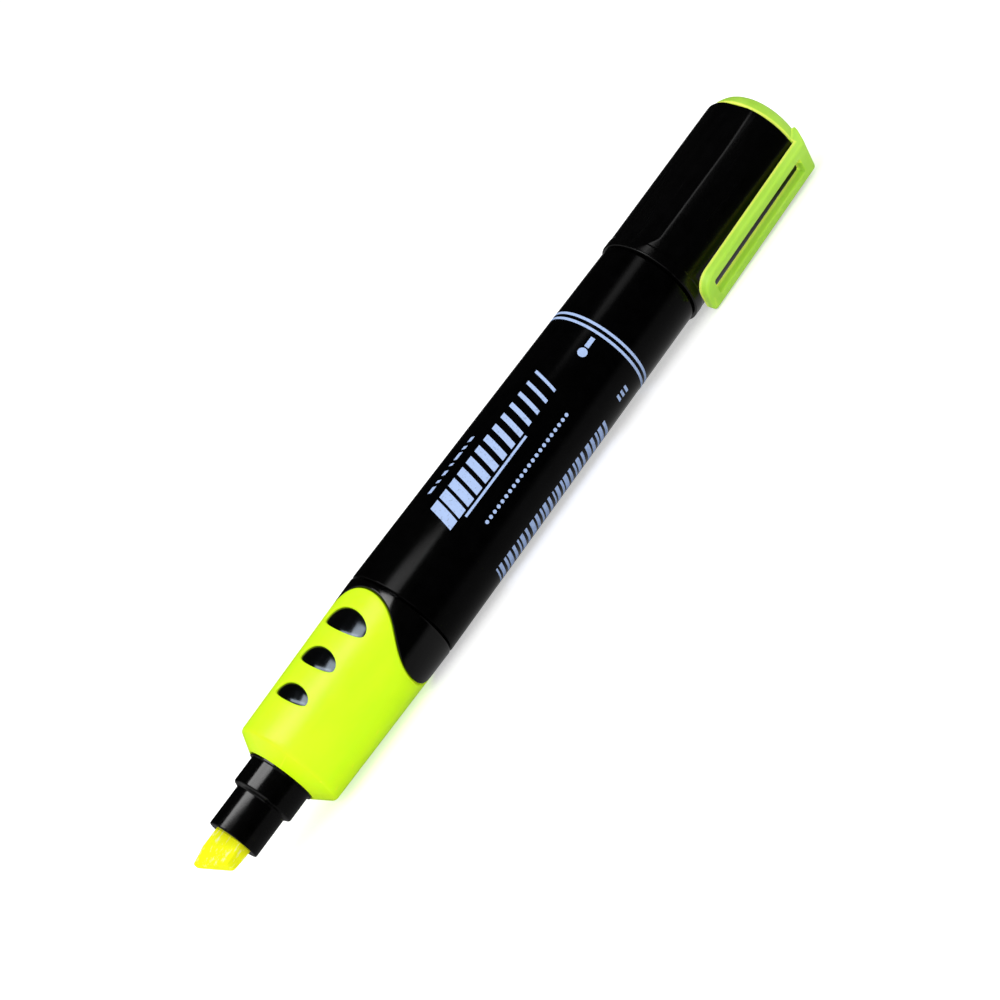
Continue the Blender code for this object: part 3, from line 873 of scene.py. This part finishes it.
def clip_floor(x, y):
    """Underside of the clip, clear of the cap, and of the lug, inside the crown."""
    if x > CAP_SHELL_END + 0.1:
        return 7.0
    arm = clip_top(x) - CLIP_THICKNESS
    nub = math.exp(-((x - FOOT_CENTRE) / 0.6) ** 4 - (y / 1.0) ** 4)
    cone = (CAP_REAR_RADIUS - CAP_FRONT_RADIUS) / (CAP_SHELL_END - CAP_LIP)
    room = CAP_FRONT_RADIUS + cone * (x - CAP_LIP) + 0.15
    return max(arm - (arm - FOOT_FLOOR) * nub, math.sqrt(room * room - y * y))


def clip_outline(offset):
    """The clip's plan, drawn in by an offset: straight sides and round corners."""
    half = CLIP_HALF_WIDTH - offset
    front, rear = CLIP_FRONT + offset, LUG_END - offset
    sides = []
    for radius, y_sign in zip(TIP_CORNERS, (-1.0, 1.0)):
        tip, lug = radius - offset, LUG_CORNER - offset
        side = []
        for step in range(7):
            turn = math.radians(15.0 * step)
            inwards = lug * (1.0 - math.cos(turn))
            side.append((rear - inwards, half - lug * (1.0 - math.sin(turn))))
        x = 140.2
        while x > front + tip + 0.2:
            side.append((x, half))
            x -= 0.4
        for step in range(13):
            turn = math.radians(7.5 * step)
            inwards = tip * (1.0 - math.sin(turn))
            side.append((front + inwards, half - tip * (1.0 - math.cos(turn))))
        sides.append([(x, y_sign * y) for x, y in side])
    return sides[1] + sides[0][::-1]


def slot_outline(offset):
    """The slot's plan, grown by an offset, with small round corners."""
    front, end, half = SLOT
    radius = 0.35 + offset
    made = []
    corners = (
        (end + offset - radius, half + offset - radius, 0.0),
        (front - offset + radius, half + offset - radius, 90.0),
        (front - offset + radius, -half - offset + radius, 180.0),
        (end + offset - radius, -half - offset + radius, 270.0),
    )
    for index, (x, y, turn) in enumerate(corners):
        for step in range(7):
            angle = math.radians(turn + 15.0 * step)
            made.append((x + radius * math.cos(angle), y + radius * math.sin(angle)))
        after = corners[(index + 1) % 4]
        length = math.hypot(after[0] - x, after[1] - y)
        count = max(2, int(length / 0.5))
        direction = Vector((after[0] - x, after[1] - y)) / length
        normal = Vector((-direction.y, direction.x)) * -radius
        for step in range(1, count):
            point = Vector((x, y)) + direction * (length * step / count) + normal
            made.append((point.x, point.y))
    return made


def make_clip():
    """Slotted bar, foot and lug in one moulding, with rounded eaves; the eaves' lower edges and the
    slot's walls get a painted highlight and painted glow.
    """
    points, heights, loops, glow = [], [], [], {}
    eave = round_over(0.42)
    lip = round_over(0.2)

    def put(x, y, drop, above=0.0, below=0.0):
        points.append((x, y))
        heights.append(clip_top(x) - drop)
        glow[len(points) - 1] = (above, below)
        return len(points) - 1

    # Painted highlight and glow along the eaves' lower edges
    for distance, drop in eave:
        loops.append([put(x, y, drop, 0.0, 1.0) for x, y in clip_outline(distance)])
    for distance, drop in lip:
        # Painted highlight: the slot's rim is painted pale only on the +Y side, where the light
        # falls
        painted_rim_glow = 0.8 * (1.0 - distance / lip[-1][0])
        loop = []
        for x, y in slot_outline(distance):
            loop.append(put(x, y, drop, painted_rim_glow if y > 0.0 else 0.0, 1.0))
        loops.append(loop)
    front, end, half = SLOT
    for i in range(60):
        for j in range(13):
            x = 110.7 + 0.5 * i
            y = -2.4 + 0.4 * j
            outside_slot = x < front - 0.4 or x > end + 0.4 or abs(y) > half + 0.35
            corner = x < CLIP_FRONT + TIP_CORNERS[1] and abs(y) > 1.0
            if outside_slot and not corner and x < CAP_SHELL_END - 0.2:
                put(x, y, 0.0)
    for x in (CAP_SHELL_END, CAP_SHELL_END + 0.2, 139.3, 139.7, 140.1, 140.5):
        for j in range(9):
            put(x, -2.2 + 0.55 * j, 0.0)

    def keep(x, y):
        if front < x < end and abs(y) < half - 0.001:
            return min(x - front, end - x) < 0.12 and half - abs(y) < 0.12
        return True

    triangles = triangulate(points, loops, keep)
    top = {i: (p[0], p[1], heights[i]) for i, p in enumerate(points)}
    bottom = {i: (p[0], p[1], clip_floor(*p)) for i, p in enumerate(points)}
    return thick_sheet(triangles, top, bottom, glow=glow)


def slab(bm, grid):
    """Thin raised patch of print from a grid of (x, degrees round the pen) points."""
    layers = []
    for lift in (PRINT_LIFT, -PRINT_SINK):
        layer = []
        for line in grid:
            made = []
            for x, degrees in line:
                angle = math.radians(degrees)
                r = barrel_radius(x) + lift
                made.append(bm.verts.new((x, r * math.cos(angle), r * math.sin(angle))))
            layer.append(made)
        layers.append(layer)
    top, bottom = layers
    rows, columns = len(grid), len(grid[0])
    for layer in layers:
        for i in range(rows - 1):
            for j in range(columns - 1):
                bm.faces.new((layer[i][j], layer[i + 1][j], layer[i + 1][j + 1], layer[i][j + 1]))
    border = [(i, 0) for i in range(rows)] + [(rows - 1, j) for j in range(1, columns)]
    border += [(i, columns - 1) for i in reversed(range(rows - 1))]
    border += [(0, j) for j in reversed(range(1, columns - 1))]
    for (i, j), (k, m) in zip(border, border[1:] + border[:1]):
        bm.faces.new((top[i][j], top[k][m], bottom[k][m], bottom[i][j]))


def bar(bm, x, width, low, high, lean=0.0):
    """Printed bar round the pen: x and width along it, low and high in degrees."""
    steps = max(2, int(abs(high - low) / 2.5))
    grid = []
    for i in range(steps + 1):
        share = i / steps
        middle = x + lean * share
        degrees = low + (high - low) * share
        grid.append([(middle + width * (j / 2.0 - 0.5), degrees) for j in range(3)])
    slab(bm, grid)


def dot(bm, x, degrees, radius):
    """Printed round dot."""
    grid = []
    for i in range(9):
        line = []
        for j in range(9):
            u, v = i / 4.0 - 1.0, j / 4.0 - 1.0
            across = radius * v * math.sqrt(1.0 - u * u / 2.0)
            along = radius * u * math.sqrt(1.0 - v * v / 2.0)
            line.append((x + along, degrees + math.degrees(across / barrel_radius(x))))
        grid.append(line)
    slab(bm, grid)


def make_print():
    """Generic pad print: a fading row of stripes, a rule, dots, dashes and a strip of bars."""
    bm = bmesh.new()
    for i in range(13):
        bar(bm, 58.9 + 2.1 * i, 1.7 - 0.1 * i, 30.5, 0.0, 1.3)
    bar(bm, 68.5, 15.0, 33.0, 35.5)
    for i, length in enumerate((1.6, 0.7, 1.1, 0.6, 1.8, 0.8, 1.2)):
        bar(bm, 62.0 + 1.6 * i, length * 0.8, -17.0, -13.0, 0.3)
    for i in range(22):
        dot(bm, 62.3 + 0.95 * i, 53.5, 0.3)
    x = 58.3
    index = 0
    while x < 86.6:
        width = 0.3 + 0.6 * (index * 0.618 % 1.0)
        bar(bm, x + width / 2.0, width, 94.5, 124.0)
        x += width + 0.3 + 0.4 * ((index * 0.382 + 0.3) % 1.0)
        index += 1
    dot(bm, 91.4, 29.0, 0.75)
    bar(bm, 93.3, 1.8, 26.5, 31.5)
    for i in range(3):
        bar(bm, 90.2 + 0.9 * i, 0.5, 88.0, 97.0)
    return bm


def stripe_path(x):
    """Path of a thin printed ring round the barrel at a station."""
    def path(angle):
        low, high = barrel_radius(x) - PRINT_SINK, barrel_radius(x) + PRINT_LIFT
        front, rear = x - RING_HALF_WIDTH, x + RING_HALF_WIDTH
        return [(front, low), (front, high), (rear, high), (rear, low)]
    return path


# ---------------------------------------------------------------- pieces

finish_piece("nib_tip", make_nib(), NIB_FIBRE, "pen", ["nib"], 50.0)
finish_piece("section", lathe(section_path), BLACK_GLOSS, "pen", ["front_section"])
finish_piece("window_pads", make_pads(), PAD_GLOSS, "pen", ["front_section"])
finish_piece("grip", make_grip(), NEON, "pen", ["grip_sleeve"])
finish_piece("barrel_tube", lathe(barrel_path), BLACK_SATIN, "pen", ["barrel"])
finish_piece("barrel_print", make_print(), INK_PRINT, "pen")
for number, station in enumerate(RING_STATIONS):
    finish_piece(f"barrel_stripe_{number}", lathe(stripe_path(station)), INK_PRINT, "pen")
stub = lathe(plug_path, closed=False)
finish_piece("stub_plug", stub, BLACK_SATIN, "pen", ["end_plug"])
finish_piece("liner", lathe(liner_path, closed=False), PALE, "cap", ["cap_liner"])
finish_piece("cap_tube", lathe(cap_path), CAP_BLACK, "cap", ["cap_shell"])
finish_piece("crown", make_crown(), NEON_CAP, "cap", ["cap_crown"])
clip = finish_piece("clip_bar", make_clip(), NEON_CAP, None, ["clip"])
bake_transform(clip)

# The reservoir and its film keep their CAD shapes
for node, finish in (("ink_reservoir", INK_FIBRE), ("reservoir_film", FILM)):
    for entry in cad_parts[node].material_slots:
        entry.material = finish


# ---------------------------------------------------------------- light, floor, camera

WHITE = rgba((1.0, 1.0, 1.0))
FLOOR_GREY = rgba((0.88, 0.88, 0.88))
FLOOR_DEPTH = 0.0001
FLOOR_HALF_SIZE = 3.0

scene = bpy.context.scene
scene.view_settings.view_transform = "Standard"
scene.view_settings.look = "None"

# The background is white for the camera, soft for matt surfaces and dark for glossy ones
world = bpy.data.worlds.new("studio")
scene.world = world
world.use_nodes = True
sky = world.node_tree
sky.nodes.clear()
light_path = add(sky, "ShaderNodeLightPath")
towards_sky = add(sky, "ShaderNodeTexCoord").outputs["Generated"]
sky_x = add(sky, "ShaderNodeSeparateXYZ", {"Vector": towards_sky}).outputs["X"]
soft = add(sky, "ShaderNodeBackground", {"Strength": remap(sky, sky_x, -0.2, 1.0, 1.0, 0.6)})
mirrored = add(sky, "ShaderNodeBackground", {"Strength": remap(sky, sky_x, -0.7, -0.3, 0.5, 0.004)})
white = add(sky, "ShaderNodeBackground", {"Strength": 1.05})
for light in (soft, mirrored, white):
    light.inputs["Color"].default_value = WHITE
first = add(sky, "ShaderNodeMixShader", {
    0: light_path.outputs["Is Glossy Ray"], 1: soft.outputs[0], 2: mirrored.outputs[0]})
second = add(sky, "ShaderNodeMixShader", {
    0: light_path.outputs["Is Camera Ray"], 1: first.outputs[0], 2: white.outputs[0]})
add(sky, "ShaderNodeOutputWorld", {"Surface": second.outputs[0]})

# The floor is pale; in front of the pen it is dark for glossy surfaces, and dim under the nib
floor_material = bpy.data.materials.new("studio_floor")
floor_material.use_nodes = True
ground = floor_material.node_tree
ground.nodes.clear()
light_path = add(ground, "ShaderNodeLightPath")
position = add(ground, "ShaderNodeNewGeometry").outputs["Position"]
place = add(ground, "ShaderNodeSeparateXYZ", {"Vector": position}).outputs
across = remap(ground, place["Y"], -0.018, -0.013, 0.002, 1.0)
lengthways = remap(ground, place["X"], -0.05, 0.0, 0.1, 0.35)
strip = add(ground, "ShaderNodeMath", {0: across, 1: lengthways}, operation="MULTIPLY")
matt = add(ground, "ShaderNodeBsdfDiffuse", {"Color": FLOOR_GREY})
near = add(ground, "ShaderNodeEmission", {"Strength": strip.outputs["Value"]})
glow = add(ground, "ShaderNodeEmission", {"Strength": 0.5})
lit = add(ground, "ShaderNodeAddShader", {0: matt.outputs[0], 1: glow.outputs[0]})
first = add(ground, "ShaderNodeMixShader", {
    0: light_path.outputs["Is Camera Ray"], 1: matt.outputs[0], 2: lit.outputs[0]})
second = add(ground, "ShaderNodeMixShader", {
    0: light_path.outputs["Is Glossy Ray"], 1: first.outputs[0], 2: near.outputs[0]})
add(ground, "ShaderNodeOutputMaterial", {"Surface": second.outputs[0]})

bm = bmesh.new()
bmesh.ops.create_grid(bm, x_segments=8, y_segments=8, size=FLOOR_HALF_SIZE)
mesh = bpy.data.meshes.new("floor")
bm.to_mesh(mesh)
bm.free()
mesh.materials.append(floor_material)
floor = bpy.data.objects.new("floor", mesh)
floor.location = (0.0, 0.0, -FLOOR_DEPTH)
bpy.context.collection.objects.link(floor)


def softbox(name, place, target, width, height, power, diffuse, glossy):
    """Area light that faces a point."""
    lamp = bpy.data.lights.new(name, "AREA")
    lamp.shape = "RECTANGLE"
    lamp.size = width
    lamp.size_y = height
    lamp.energy = power
    made = bpy.data.objects.new(name, lamp)
    made.location = place
    made.rotation_euler = (Vector(target) - Vector(place)).to_track_quat("-Z", "Y").to_euler()
    made.visible_diffuse = diffuse
    made.visible_glossy = glossy
    bpy.context.collection.objects.link(made)


# Three lights that only make highlights, and one that only lights the matt colours
softbox("nose_light", (-0.047, -0.045, 0.15), (-0.055, 0.0, 0.01), 0.03, 0.11, 0.052, False, True)
softbox("grip_light", (-0.012, -0.088, 0.15), (-0.04, 0.0, 0.01), 0.05, 0.075, 0.059, False, True)
softbox("cap_light", (0.12, -0.075, 0.15), (0.055, 0.0, 0.01), 0.06, 0.04, 0.013, False, True)
softbox("fill_light", (-0.3, -0.35, 0.45), (0.0, 0.0, 0.0), 0.4, 0.4, 1.0, True, False)

# Camera: the pen's axis is turned 15.7 degrees from the image plane
AIM_STATION = 68.4
AIM_DROP = 0.00154
CAMERA_DISTANCE = 0.348
CAMERA_LENS = 85.82
ELEVATION = math.radians(15.9)
TURN = math.radians(15.7)
TILT = math.radians(53.33)
forward = Vector((0.0, -math.cos(ELEVATION), math.sin(ELEVATION)))
downward = Vector((0.0, -math.sin(ELEVATION), -math.cos(ELEVATION)))
along = Vector((1.0, 0.0, 0.0))
towards = math.cos(TURN) * forward - math.sin(TURN) * along
flat_along = (along - along.dot(towards) * towards).normalized()
right = math.cos(TILT) * flat_along + math.sin(TILT) * downward
up = math.sin(TILT) * flat_along - math.cos(TILT) * downward
aim_x = crown_high.x + (AIM_STATION - CROWN_TOP) * MM
aim = Vector((aim_x, axis_point.y, axis_point.z)) + AIM_DROP * downward
camera_data = bpy.data.cameras.new("camera")
camera_data.lens = CAMERA_LENS
camera_data.sensor_width = 36.0
camera_data.clip_start = 0.01
camera_data.clip_end = 20.0
camera = bpy.data.objects.new("camera", camera_data)
turned = Matrix((right, up, towards)).transposed().to_4x4()
camera.matrix_world = Matrix.Translation(aim + CAMERA_DISTANCE * towards) @ turned
bpy.context.collection.objects.link(camera)
scene.camera = camera
